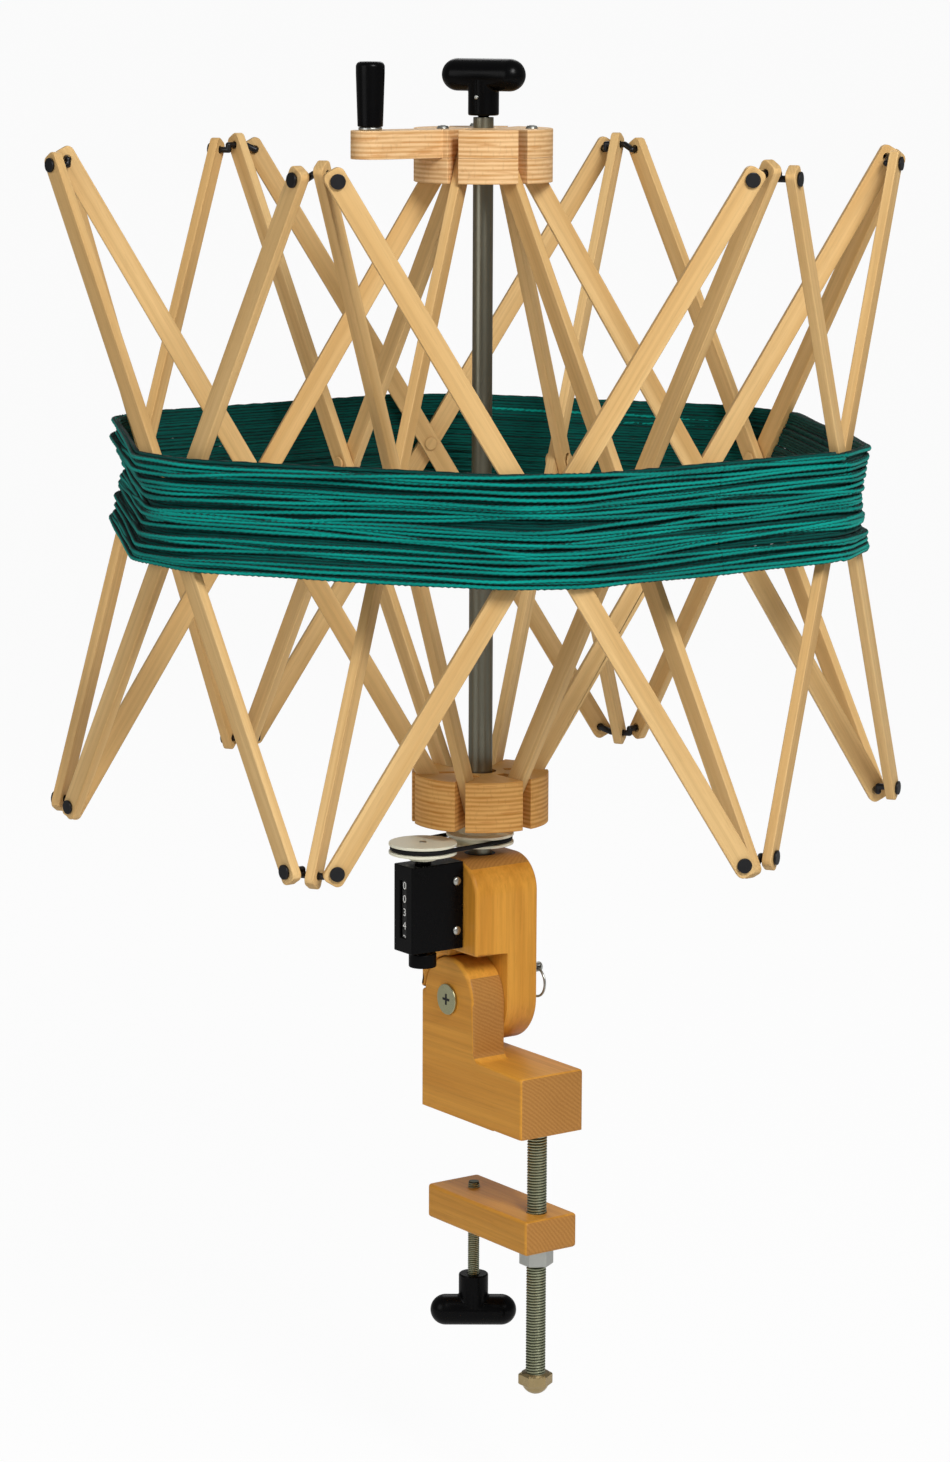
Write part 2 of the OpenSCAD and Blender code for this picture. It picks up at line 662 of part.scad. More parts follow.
// Round belt over both pulleys
module drive_belt() {
    color("black") rotate([0, 0, count_dir]) translate([0, 0, belt_z]) {
        rotate([0, 0, 90]) rotate_extrude(angle = 180) translate([groove_r, 0]) circle(belt_d / 2);
        translate([count_reach, 0, 0]) rotate([0, 0, -90]) rotate_extrude(angle = 180) translate([groove_r, 0]) circle(belt_d / 2);
        for (s = [-1, 1]) translate([0, s * groove_r, 0]) rotate([0, 90, 0]) cylinder(h = count_reach, r = belt_d / 2);
    }
}

// Pulley on the lower tube, with a boss up to the hub
module drive_pulley() {
    color("white") {
        pulley(outer_tube_d / 2 + 0.05);
        difference() {
            translate([0, 0, belt_z + pulley_h / 2 - 0.5]) cylinder(h = lower_hub_z - belt_z - pulley_h / 2 + 0.4, r = 17);
            translate([0, 0, belt_z]) cylinder(h = lower_hub_z, r = outer_tube_d / 2 + 0.05);
        }
    }
}

// Clamp

module hexagon(h) { cylinder(h = h, r = nut_r, $fn = 6); }

// Threaded post with its cap nut
module clamp_post() {
    color("silver") translate([post_x, 0, -post_out - 4]) cylinder(h = post_out + 4 + post_in, r = post_d / 2);
    color("khaki") translate([post_x, 0, 0]) difference() {
        union() {
            translate([0, 0, -post_out - 10]) hexagon(10);
            translate([0, 0, -post_out - 6.6]) sphere(nut_af / 2 - 1);
        }
        translate([0, 0, -post_out - 4.1]) cylinder(h = 60, r = post_d / 2 + 0.05);
    }
}

module clamp_bar() {
    color("peru") difference() {
        translate([-bar_back, -bar_half, -bar_drop - bar_h]) cube([bar_back + bar_front, 2 * bar_half, bar_h]);
        translate([post_x, 0, -bar_drop - bar_h - 1]) cylinder(h = bar_h + 2, r = post_d / 2 + 0.3);
        translate([clamp_x, 0, -bar_drop - bar_h - 1]) cylinder(h = bar_h + 2, r = clamp_d / 2 + 0.15);
    }
}

module clamp_nut() {
    color("silver") translate([post_x, 0, -bar_drop - bar_h - 0.4 - nut_h]) difference() {
        hexagon(nut_h);
        translate([0, 0, -1]) cylinder(h = nut_h + 2, r = post_d / 2 + 0.15);
    }
}

module clamp_screw() {
    color("silver") translate([clamp_x, 0, -clamp_handle_drop - 14])
        cylinder(h = clamp_handle_drop + 14 - bar_drop + clamp_tip, r = clamp_d / 2);
}

module clamp_handle() {
    color("black") translate([clamp_x, 0, 0]) difference() {
        t_handle(-clamp_handle_drop, -1, clamp_turn);
        translate([0, 0, -clamp_handle_drop - 14.3]) cylinder(h = 20, r = clamp_d / 2 + 0.1);
    }
}

// Yarn

// A core band with one unbroken outer winding
module yarn_skein() {
    color("teal") translate([0, 0, mid_z - skein_h / 2]) linear_extrude(skein_h) difference() {
        polygon(skein_ring(skein_in + skein_core, skein_flat));
        polygon(skein_ring(skein_in, skein_flat));
    }
}

base_block();
clamp_post();
pivot_bolt();
clamp_bar();
clamp_nut();
clamp_screw();
clamp_handle();
head_block();
shaft_bushes();
lock_pin();
pull_ring();
counter_case();
counter_pulley();
reset_knob();
drive_belt();
outer_tube();
lower_hub();
drive_pulley();
upper_hub();
upper_hub_screws();
inner_tube();
lock_handle();
crank_grip();
yarn_skein();
for (k = [1:6]) {
    lower_arm(k);
    upper_arm(k);
    outer_slat(k);
    inner_slat(k);
    upper_tip_pin(k);
    lower_tip_pin(k);
}
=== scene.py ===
# %% [markdown]
# Umbrella swift: the looks.
# The packed solids come in as a fixed frame, in metres. They keep their shape;
# this script gives them finishes, rounds their edges, adds the small things a
# maker would fit last, and swaps the plain skein for one of plied strands.

from math import asin, cos, pi, radians, sin, tan

import bmesh
import bpy
import numpy as np
from mathutils import Matrix, Vector


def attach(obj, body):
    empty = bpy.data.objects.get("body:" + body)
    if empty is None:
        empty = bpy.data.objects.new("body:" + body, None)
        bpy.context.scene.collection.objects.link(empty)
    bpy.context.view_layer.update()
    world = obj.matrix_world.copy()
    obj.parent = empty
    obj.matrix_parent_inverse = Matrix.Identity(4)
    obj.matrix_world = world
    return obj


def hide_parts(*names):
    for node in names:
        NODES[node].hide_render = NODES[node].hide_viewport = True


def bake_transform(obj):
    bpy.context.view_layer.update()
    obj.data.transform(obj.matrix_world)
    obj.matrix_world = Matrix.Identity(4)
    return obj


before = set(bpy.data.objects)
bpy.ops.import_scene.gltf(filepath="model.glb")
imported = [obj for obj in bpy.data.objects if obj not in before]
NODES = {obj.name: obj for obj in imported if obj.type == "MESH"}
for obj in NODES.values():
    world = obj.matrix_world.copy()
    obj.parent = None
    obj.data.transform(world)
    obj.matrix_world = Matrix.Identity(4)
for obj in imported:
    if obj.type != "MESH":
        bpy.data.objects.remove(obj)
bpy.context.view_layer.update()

# %% [markdown]
# The camera stands where the photograph was taken from: almost three and a
# half metres away, with a long lens, looking ten degrees down. It could be
# set by eye, but its place comes from a fit to the pins of the slat cage, so
# the render can be laid over the photograph.

# %% Camera
CAMERA_AT = Vector((2.652, -1.897, 0.892))
CAMERA_HEADING = (-0.8141, 0.5807)
CAMERA_PITCH = radians(10.13)
CAMERA_ROLL = 0.0047
CAMERA_LENS, CAMERA_FILM, CAMERA_REACH = 102.69, 36, 2000


def place_camera():
    level = cos(CAMERA_PITCH)
    east, north = CAMERA_HEADING
    ahead = Vector((east * level, north * level, -sin(CAMERA_PITCH))).normalized()
    right = ahead.cross(Vector((0, 0, 1))).normalized()
    up = right.cross(ahead)
    turn = Matrix((right, up, -ahead)).transposed().to_4x4()
    roll = Matrix.Rotation(CAMERA_ROLL, 4, "Z")
    data = bpy.data.cameras.new("camera")
    data.lens, data.sensor_width, data.clip_end = CAMERA_LENS, CAMERA_FILM, CAMERA_REACH
    camera = bpy.data.objects.new("camera", data)
    camera.matrix_world = Matrix.Translation(CAMERA_AT) @ turn @ roll
    bpy.context.collection.objects.link(camera)
    bpy.context.scene.camera = camera


place_camera()
print("camera:", CAMERA_LENS, "mm lens,", round(CAMERA_AT.length, 2), "m from the frame's zero")

# %% [markdown]
# A finish is a sum of patterns. Each pattern could be wired by hand, node by
# node, but shader maths reads best as sums. So Value wraps one socket, and
# every sum on it adds a Math node.


# %% Shader sums
class Value:
    def __init__(self, tree, socket):
        self.tree, self.socket = tree, socket

    def math(self, operation, *terms):
        made = self.tree.nodes.new("ShaderNodeMath")
        made.operation = operation
        for entry, term in zip(made.inputs, terms):
            plug(self.tree, term, entry)
        return Value(self.tree, made.outputs[0])

    def __add__(self, other): return self.math("ADD", self, other)
    def __sub__(self, other): return self.math("SUBTRACT", self, other)
    def __rsub__(self, other): return self.math("SUBTRACT", other, self)
    def __mul__(self, other): return self.math("MULTIPLY", self, other)
    def __gt__(self, other): return self.math("GREATER_THAN", self, other)
    def sine(self): return self.math("SINE", self)
    def size(self): return self.math("ABSOLUTE", self)


def plug(tree, value, entry):
    if isinstance(value, Value):
        tree.links.new(value.socket, entry)
    else:
        entry.default_value = value


def tint(r, g, b):
    return (r, g, b, 1.0)


def scaled(colour, share):
    return [c * share for c in colour]


print("half of red:", tint(*scaled((1, 0, 0), 0.5)))

# %% [markdown]
# Finish holds one material. Its node() makes any other node, and the methods
# under it are the few patterns that this part needs. Places are measured in
# the frame that all pieces share, so a grain runs on from piece to piece, and
# it stays on its board when the board moves.


# %% One material
class Finish:
    def __init__(self, name, **fixed):
        self.material = bpy.data.materials.new(name)
        self.material.use_nodes = True
        self.tree = self.material.node_tree
        self.shader = next(n for n in self.tree.nodes if n.type == "BSDF_PRINCIPLED")
        self.set(**fixed)

    def set(self, **sockets):
        for name, value in sockets.items():
            plug(self.tree, value, self.shader.inputs[name.replace("_", " ")])

    def node(self, kind, settings, sockets, out=0):
        made = self.tree.nodes.new("ShaderNode" + kind)
        for name, value in settings.items():
            setattr(made, name, value)
        for name, value in sockets.items():
            plug(self.tree, value, made.inputs[name])
        return Value(self.tree, made.outputs[out])

    def place(self):
        return self.node("TexCoord", {}, {}, "Object")

    def dot(self, vector, axis):
        settings = {"operation": "DOT_PRODUCT"}
        return self.node("VectorMath", settings, {0: vector, 1: tuple(axis)}, "Value")

    def along(self, axis):
        return self.dot(self.place(), axis)

    def axes(self):
        return self.along((1, 0, 0)), self.along((0, 1, 0)), self.along((0, 0, 1))

    def facing(self, axis):
        return self.dot(self.node("TexCoord", {}, {}, "Normal"), axis).size()

    def vector(self, x, y, z):
        return self.node("CombineXYZ", {}, {0: x, 1: y, 2: z})

    def noise(self, vector, scale, detail=3.0, rough=0.5, bend=0.0):
        return self.node("TexNoise", {}, {
            "Vector": vector, "Scale": scale, "Detail": detail,
            "Roughness": rough, "Distortion": bend})

    def mix(self, share, a, b):
        return self.node("Mix", {"data_type": "RGBA"}, {0: share, 6: a, 7: b}, 2)

    def rise(self, value, low, high):
        ramp = self.node("ValToRGB", {}, {0: value})
        for stop, place in zip(ramp.socket.node.color_ramp.elements, (low, high)):
            stop.position = place
        return ramp

    def bump(self, height, strength, distance):
        sockets = {"Strength": strength, "Distance": distance, "Height": height}
        self.set(Normal=self.node("Bump", {}, sockets))


print("patterns:", [name for name in vars(Finish) if name[0] != "_"])

# %% [markdown]
# The boards are maple, planed and sanded. The fibre runs along each board, so
# each board gets its own direction: long, soft streaks of colour, short fine
# pores, and on the ends the darker, ringed end grain. A painted picture would
# have to be fitted to every board; a dot product with the board's own axes
# turns the shared frame into the board's lengths, and the pattern fits itself.

# %% Solid maple
RING_PITCH = 0.0029
RING_SLANT, RING_BOW = Vector((0.9, 0.75, 0.62)), Vector((0.4, -0.5, 0.7))
END_GRAIN_FROM = 0.8


def maple(name, fibre, pale, deep, seed, coat=0.0, rough=0.5, butt=None):
    fibre = Vector(fibre).normalized()
    side = fibre.orthogonal().normalized()
    butt = butt or (scaled(pale, 0.80), scaled(deep, 0.80))
    f = Finish(name, Coat_Weight=coat, Coat_Roughness=0.25, Specular_IOR_Level=0.22)
    a, b, c = f.along(fibre), f.along(side), f.along(fibre.cross(side))

    def fibres(along, across, *look):
        return f.noise(f.vector(a * along + seed, b * across, c * across), 1.0, *look)

    def across_fibre(axis):
        return f.along(axis - fibre * fibre.dot(axis))

    streak = fibres(2.2, 55, 4.0, 0.55, 0.4)
    pore = fibres(40, 900, 2.0, 0.6)
    cloud = fibres(6, 9, 2.0)
    fine = fibres(3.5, 330, 3.0, 0.6, 0.2)
    tone = f.mix(f.rise(streak, 0.36, 0.66), tint(*pale), tint(*deep))
    tone = f.mix(f.rise(fine, 0.42, 0.72) * 0.45, tone, tint(*scaled(deep, 0.74)))
    tone = f.mix(cloud * 0.30, tone, tint(*scaled(pale, 0.86)))
    tone = f.mix((pore > 0.62) * 0.14, tone, tint(*scaled(deep, 0.62)))
    # The butt end: bowed year rings that waver
    waver = f.noise(f.vector(b * 22 + seed, c * 22, a * 4), 1.0, 3.0, 0.5)
    bow = across_fibre(RING_BOW) + 0.05
    depth = across_fibre(RING_SLANT) + bow * bow * 2.2 + waver * 0.011
    ring = (depth * (2 * pi / RING_PITCH)).sine() * 0.5 + 0.5
    cut = f.mix(ring * 0.42 + waver * 0.35, tint(*butt[0]), tint(*butt[1]))
    cut = f.mix((pore > 0.56) * 0.16, cut, tint(*scaled(butt[1], 0.6)))
    end = f.facing(fibre) > END_GRAIN_FROM
    f.set(Base_Color=f.mix(end, tone, cut), Roughness=pore * 0.12 + (rough - 0.06) + end * 0.12)
    f.bump(pore * 0.6 + streak * 0.4, 0.10, 0.0004)
    return f.material


SLAT_PALE, SLAT_DEEP = (0.80, 0.535, 0.235), (0.62, 0.365, 0.130)
BLOCK_PALE, BLOCK_DEEP = (0.79, 0.365, 0.050), (0.60, 0.240, 0.022)
BLOCK_BUTT = ((0.52, 0.245, 0.058), (0.35, 0.145, 0.028))
block_look = {"coat": 0.08, "rough": 0.42, "butt": BLOCK_BUTT}
block_x = maple("block maple, lying", (1, 0, 0.02), BLOCK_PALE, BLOCK_DEEP, 1.3, **block_look)
block_z = maple("block maple, standing", (0.03, 0, 1), BLOCK_PALE, BLOCK_DEEP, 8.1, **block_look)
# Painted shade: the bar is the blocks' maple coloured darker, as if it lay in shadow.
bar_x_shaded = maple("block maple, bar, painted shade", (1, 0.02, 0), scaled(BLOCK_PALE, 0.86), scaled(BLOCK_DEEP, 0.84),
              5.2, coat=0.08, rough=0.45, butt=BLOCK_BUTT)
print("maple for the blocks:", block_x.name, "/", block_z.name, "/", bar_x_shaded.name)

# %% [markdown]
# The hubs are birch plywood: on the flat they show calm face grain, on the rim
# thin plies, every other one cut across the fibre and so darker. The plies
# could be modelled as sheets, but they are flush, so a wave up the rim with
# some noise in it tells the same story.

# %% Plywood
PLY = 0.00178
FLAT_FROM = 0.7


def plywood(name, foot, tone):
    def shade(*colour):
        return tint(*[min(c * t, 0.9) for c, t in zip(colour, tone)])

    f = Finish(name, Specular_IOR_Level=0.2)
    x, y, z = f.axes()
    waver = f.noise(f.vector(x * 22, y * 22, z * 260), 1.0, 3.0, 0.6)
    wave = ((z - foot + waver * 0.0016) * (pi / PLY)).sine()
    layer = wave * 0.42 + waver * 1.5 - 0.38
    stain = f.noise(f.vector(x * 38, y * 38, z * 420), 1.0, 2.0, 0.5)
    speck = f.noise(f.vector(x * 420, y * 420, z * 160), 1.0, 3.0, 0.65)
    share = f.node("Clamp", {}, {0: layer})
    rim = f.mix(share, shade(0.80, 0.54, 0.29), shade(0.55, 0.29, 0.10))
    rim = f.mix(f.rise(stain, 0.54, 0.72) * 0.6, rim, shade(0.52, 0.23, 0.06))
    rim = f.mix((speck > 0.60) * 0.14, rim, shade(0.30, 0.15, 0.06))
    face = f.noise(f.vector(x * 6, y * 120, 0.0), 1.0, 4.0, 0.6, 0.5)
    flat = f.mix(face, shade(0.76, 0.53, 0.29), shade(0.58, 0.35, 0.16))
    top = f.facing((0, 0, 1)) > FLAT_FROM
    f.set(Base_Color=f.mix(top, rim, flat), Roughness=speck * 0.15 + 0.45)
    f.bump(speck * 0.5 + layer * 0.15, 0.18, 0.0004)
    return f.material


lower_ply = plywood("lower hub plywood", 0.2375, (0.92, 0.74, 0.42))
upper_ply = plywood("upper hub plywood", 0.7426, (1.06, 1.04, 1.0))
print("plywood:", lower_ply.name, "/", upper_ply.name)

# %% [markdown]
# Metals: the tubes are drawn steel, dull and faintly streaked along their
# length; the nut and screws are zinc plated and brighter, some with a yellow
# cast; the bent pins are blackened. One recipe does for all: a colour, a
# smear of fine lines, and a cloud that dulls it here and there.


# %% Metals
def metal(name, colour, rough, streak=(300, 300, 6), warm=None):
    f = Finish(name, Metallic=1.0)
    x, y, z = f.axes()
    lines = f.noise(f.vector(x * streak[0], y * streak[1], z * streak[2]), 1.0, 3.0, 0.6)
    cloud = f.noise(f.place(), 26.0, 3.0, 0.6)
    dark = tint(*scaled(colour, 0.72))
    tone = f.mix(cloud * 0.7, tint(*colour), tint(*warm) if warm else dark)
    f.set(Base_Color=f.mix(lines * 0.5, tone, dark),
          Roughness=lines * 0.22 + cloud * 0.10 + (rough - 0.12))
    f.bump(lines, 0.05, 0.0002)
    return f.material


tube_steel = metal("drawn steel", (0.27, 0.26, 0.20), 0.30)
zinc = metal("zinc plate", (0.56, 0.57, 0.53), 0.30, (400, 400, 400))
yellow_zinc = metal("yellow zinc", (0.50, 0.36, 0.16), 0.26, (200, 200, 200), (0.40, 0.36, 0.24))
pale_zinc = metal("zinc plate, yellowish", (0.52, 0.52, 0.34), 0.24, (60, 60, 60), (0.46, 0.42, 0.18))
black_steel = metal("blackened steel", (0.045, 0.045, 0.047), 0.36, (500, 500, 500))
print("materials so far:", len(bpy.data.materials))

# %% [markdown]
# On a threaded rod the crests are coloured bright, a painted highlight, and the
# valleys nearly black, a painted shade. Two materials would need a border on
# every turn; the distance from the rod's own axis tells crest and valley apart
# with one.


# %% Threaded rod
def rod_metal(name, x, r, depth):
    f = Finish(name, Metallic=1.0)
    spoke = f.vector(f.along((1, 0, 0)) - x, f.along((0, 1, 0)), 0.0)
    away = f.node("VectorMath", {"operation": "LENGTH"}, {0: spoke}, "Value")
    crest = f.node("MapRange", {}, {0: away, 1: r - depth, 2: r - depth * 0.15})
    cloud = f.noise(f.place(), 90.0, 3.0, 0.6)
    # Painted shade in the valleys, nearly black; painted highlight on the crests, bright.
    valley = f.mix(cloud, tint(0.022, 0.026, 0.014), tint(0.075, 0.080, 0.048))
    crest_highlight = f.mix(cloud, tint(0.60, 0.62, 0.45), tint(0.40, 0.43, 0.28))
    f.set(Base_Color=f.mix(crest, valley, crest_highlight), Roughness=0.46 - crest * 0.18 + cloud * 0.08)
    f.bump(cloud, 0.06, 0.0002)
    return f.material


POST_X, POST_R, POST_PITCH, POST_DEPTH = 0.080, 0.00795, 0.00231, 0.0009
SCREW_X, SCREW_R, SCREW_PITCH, SCREW_DEPTH = -0.006, 0.00474, 0.0015875, 0.0006
post_metal = rod_metal("post thread", POST_X, POST_R, POST_DEPTH)
screw_metal = rod_metal("screw thread", SCREW_X, SCREW_R, SCREW_DEPTH)
print("threads of", 2000 * POST_R, "and", 2000 * SCREW_R, "mm")

# %% [markdown]
# Plastics: the handles, grip and counter are glossy black mouldings with a
# skin that isn't quite even; the pulleys are nylon, off-white; the belt is
# matt rubber. Evenly shiny black looks like paint, so a haze varies the gloss
# and a fine grain breaks the highlights.


# %% Plastics and rubber
def plastic(name, colour, rough, grain=260.0, depth=0.03, gloss=0.14):
    f = Finish(name, Specular_IOR_Level=gloss)
    skin = f.noise(f.place(), grain, 3.0, 0.6)
    haze = f.noise(f.place(), 34.0, 3.0, 0.6)
    dusty = tint(*[c * 1.3 + 0.0006 for c in colour])
    f.set(Base_Color=f.mix(haze * 0.6, tint(*colour), dusty),
          Roughness=haze * 0.16 + (rough - 0.07) + skin * 0.05)
    f.bump(skin, depth, 0.0003)
    return f.material


black_gloss = plastic("black moulding", (0.0016, 0.0016, 0.0018), 0.24, gloss=0.09)
black_satin = plastic("black satin", (0.0022, 0.0022, 0.0024), 0.40, 700.0, 0.10, gloss=0.07)
rubber = plastic("belt rubber", (0.009, 0.009, 0.0095), 0.62, 900.0, 0.15)
nylon = plastic("white nylon", (0.80, 0.78, 0.62), 0.40, 420.0, 0.04, gloss=0.3)
wheel_black = plastic("number wheel", (0.03, 0.03, 0.03), 0.5, 500.0)
digit_white = plastic("digit white", (0.85, 0.85, 0.82), 0.5, 500.0)
print("materials so far:", len(bpy.data.materials))

# %% [markdown]
# Sawn and moulded edges are never quite sharp. A small bevel takes the edge
# off, as a sander does. It is a modifier, so the solid itself isn't touched.
# First the solid's triangles are joined to whole faces, or the bevel would
# find edges where the eye sees none.

# %% Dressing
WELD_GAP = 0.000002
FLAT_ANGLE, EDGE_ANGLE = radians(0.3), radians(50)
NORMAL_WEIGHT = 60


def dress(node, material, bevel=0.0, segments=2):
    piece = NODES[node]
    piece.data.materials.clear()
    piece.data.materials.append(material)
    if bevel:
        piece.modifiers.new("joined points", "WELD").merge_threshold = WELD_GAP
        whole = piece.modifiers.new("whole faces", "DECIMATE")
        whole.decimate_type, whole.angle_limit = "DISSOLVE", FLAT_ANGLE
        whole.delimit = {"MATERIAL"}
        edge = piece.modifiers.new("eased edge", "BEVEL")
        edge.width, edge.segments = bevel, segments
        edge.limit_method, edge.angle_limit = "ANGLE", EDGE_ANGLE
        edge.use_clamp_overlap = False
        piece.modifiers.new("even shading", "WEIGHTED_NORMAL").weight = NORMAL_WEIGHT


dress("lower_hub", lower_ply, 0.0005)
dress("upper_hub", upper_ply, 0.0005)
print("hubs dressed: 2")

# %% [markdown]
# Some nodes hold more than one solid: an arm comes with its pins, the counter
# with its wheels. They share a mesh but not an edge, so faces that hang
# together are gathered, largest first, and painted solid by solid.


# %% Paint by solid
def loose_parts(node):
    mesh = NODES[node].data
    keys = [tuple(round(c, 6) for c in v.co) for v in mesh.vertices]
    seen = {}
    owner = [seen.setdefault(key, i) for i, key in enumerate(keys)]
    boss = list(range(len(keys)))

    def top(i):
        while boss[i] != i:
            boss[i] = boss[boss[i]]
            i = boss[i]
        return i

    for edge in mesh.edges:
        a, b = (top(owner[v]) for v in edge.vertices)
        boss[a] = b
    group = {}
    for face in mesh.polygons:
        group.setdefault(top(owner[face.vertices[0]]), []).append(face.index)
    return sorted(group.values(), key=lambda part: -sum(mesh.polygons[i].area for i in part))


def paint(node, material, part):
    mesh = NODES[node].data
    mesh.materials.append(material)
    for i in part:
        mesh.polygons[i].material_index = len(mesh.materials) - 1


print("solids in the counter:", len(loose_parts("counter_case")))

# %% [markdown]
# Every slat and arm gets its own piece of maple: the same recipe with its own
# fibre direction and seed, a touch lighter or darker than the next. The
# directions follow from the cage: arms lean outward from the hubs, slats lean
# sideways in each face of it. Pins near the hub are painted black.

# %% Slats and arms
FIRST_TIP, TIP_STEP = 3.2, 60
SPREAD, PITCH = radians(31), 0.580
TIP_LEG, JOURNAL_SETBACK, HUB_PIVOT_R = 0.0169, 0.006, 0.032
HUB_PIN_WITHIN = 0.1
FACE_HALF = PITCH * sin(SPREAD) / 2
LEG_R = (FACE_HALF + TIP_LEG * cos(pi / 6)) / sin(pi / 6)
ARM_LEAN = asin((LEG_R - JOURNAL_SETBACK - HUB_PIVOT_R) / PITCH)


def arm_fibre(k, lean):
    a = radians(FIRST_TIP + TIP_STEP * (k - 1))
    return Vector((cos(a) * sin(lean), sin(a) * sin(lean), cos(lean)))


def slat_fibre(k, lean):
    a = radians(FIRST_TIP + TIP_STEP * (k - 1) + TIP_STEP / 2)
    return Vector((-sin(a) * sin(lean), cos(a) * sin(lean), cos(lean)))


def dress_board(kind, k, fibre):
    node = f"{kind}_{k}"
    shade = 1 + 0.05 * sin(2.4 * k + len(kind))
    pale, deep = scaled(SLAT_PALE, shade), scaled(SLAT_DEEP, shade)
    dress(node, maple(f"maple {kind} {k}", fibre, pale, deep, 3.7 * k + len(kind)), 0.0009)
    for part in loose_parts(node)[1:3]:
        if NODES[node].data.polygons[part[0]].center.xy.length < HUB_PIN_WITHIN:
            paint(node, black_steel, part)


for k in range(1, 7):
    dress_board("lower_arm", k, arm_fibre(k, ARM_LEAN))
    dress_board("upper_arm", k, arm_fibre(k, -ARM_LEAN))
    dress_board("outer_slat", k, slat_fibre(k, -SPREAD))
    dress_board("inner_slat", k, slat_fibre(k, SPREAD))
    dress(f"upper_tip_pin_{k}", black_steel, 0.0004)
    dress(f"lower_tip_pin_{k}", black_steel, 0.0004)
print("arms and slats dressed:", 4 * 6, "tip pins:", 2 * 6)

# %% [markdown]
# The three blocks have generous hand-rounded edges, but only outside: the
# faces of the lap joint and the sole stay crisp. A bevel modifier would need
# marks on the solid's own edges, and the solid isn't touched. So these are
# copies of the solids with just the outer edges picked out and rounded.

# %% Rounded blocks
ROUNDING = 0.0028
SHORTEST_EDGE = 0.0016
CREASE_ANGLE = radians(35)
LAP_WITHIN, SOLE_BELOW = 0.0015, 0.002


def is_outside(edge, body):
    a, b = (v.co for v in edge.verts)
    on_lap = max(abs(a.y), abs(b.y)) < LAP_WITHIN and body != "clamp_bar"
    on_sole = max(a.z, b.z) < SOLE_BELOW and body == "base"
    if on_lap or on_sole or not edge.is_manifold:
        return False
    return edge.calc_face_angle_signed() > EDGE_ANGLE and edge.calc_length() > SHORTEST_EDGE


def rounded_block(node, material, body):
    dress(node, material)
    shape = bmesh.new()
    shape.from_mesh(NODES[node].data)
    bmesh.ops.remove_doubles(shape, verts=shape.verts, dist=WELD_GAP)
    bmesh.ops.dissolve_limit(shape, angle_limit=FLAT_ANGLE, verts=shape.verts, edges=shape.edges)
    outer = [edge for edge in shape.edges if is_outside(edge, body)]
    bmesh.ops.bevel(shape, geom=outer, offset=ROUNDING, segments=4, profile=0.5,
                    affect="EDGES", clamp_overlap=False)
    for edge in shape.edges:
        edge.smooth = edge.is_manifold and edge.calc_face_angle() < CREASE_ANGLE
    mesh = bpy.data.meshes.new(node + "_rounded")
    shape.to_mesh(mesh)
    shape.free()
    mesh.polygons.foreach_set("use_smooth", [True] * len(mesh.polygons))
    mesh.materials.append(material)
    piece = bpy.data.objects.new(node + "_rounded", mesh)
    bpy.context.collection.objects.link(piece)
    even = piece.modifiers.new("even shading", "WEIGHTED_NORMAL")
    even.weight, even.keep_sharp = NORMAL_WEIGHT, True
    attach(piece, body)
    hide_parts(node)
    print(piece.name, "edges rounded:", len(outer))


rounded_block("base_block", block_x, "base")
rounded_block("head_block", block_z, "head")
rounded_block("clamp_bar", bar_x_shaded, "clamp_bar")

# %% [markdown]
# The metal and plastic parts keep their solids. Each gets its finish and a
# small eased edge that catches the light: broad on the moulded handles, a
# hair's breadth on turned metal.

# %% Dress metal and plastic
for node, material, bevel, segments in (
        ("inner_tube", tube_steel, 0.0003, 2), ("outer_tube", tube_steel, 0.0003, 2),
        ("upper_hub_screws", zinc, 0.0005, 2), ("pull_ring", zinc, 0.0005, 2),
        ("lock_pin", zinc, 0.0005, 2), ("pivot_bolt", pale_zinc, 0.0005, 2),
        ("clamp_nut", zinc, 0.0008, 3), ("shaft_bushes", black_satin, 0.0004, 2),
        ("lock_handle", black_gloss, 0.0015, 3), ("clamp_handle", black_gloss, 0.0015, 3),
        ("crank_grip", black_gloss, 0.0008, 3), ("reset_knob", black_satin, 0.0008, 3),
        ("counter_pulley", nylon, 0.0006, 3), ("drive_pulley", nylon, 0.0006, 3),
        ("counter_case", black_gloss, 0.0008, 3), ("drive_belt", rubber, 0.0, 0)):
    dress(node, material, bevel, segments)
for node, material in (("counter_case", wheel_black), ("counter_pulley", zinc)):
    for part in loose_parts(node)[1:]:
        paint(node, material, part)
    print(node, "finishes:", [m.name for m in NODES[node].data.materials])

# %% [markdown]
# Screw threads are too fine for the solids, but they catch the light on the
# clamp. A bump pattern would leave the outline smooth. So a thread is one
# short profile carried round a helix: each turn shares its valley with the
# next, and the surface closes by itself.


# %% Threads
def mesh_piece(name, points, faces, material, body, slot, smooth=True):
    mesh = bpy.data.meshes.new(name)
    mesh.from_pydata([tuple(p) for p in points], [], faces)
    mesh.validate()
    if smooth:
        mesh.polygons.foreach_set("use_smooth", [True] * len(mesh.polygons))
    mesh.materials.append(material)
    piece = bpy.data.objects.new(name, mesh)
    bpy.context.collection.objects.link(piece)
    if body:
        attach(piece, body)
    return piece


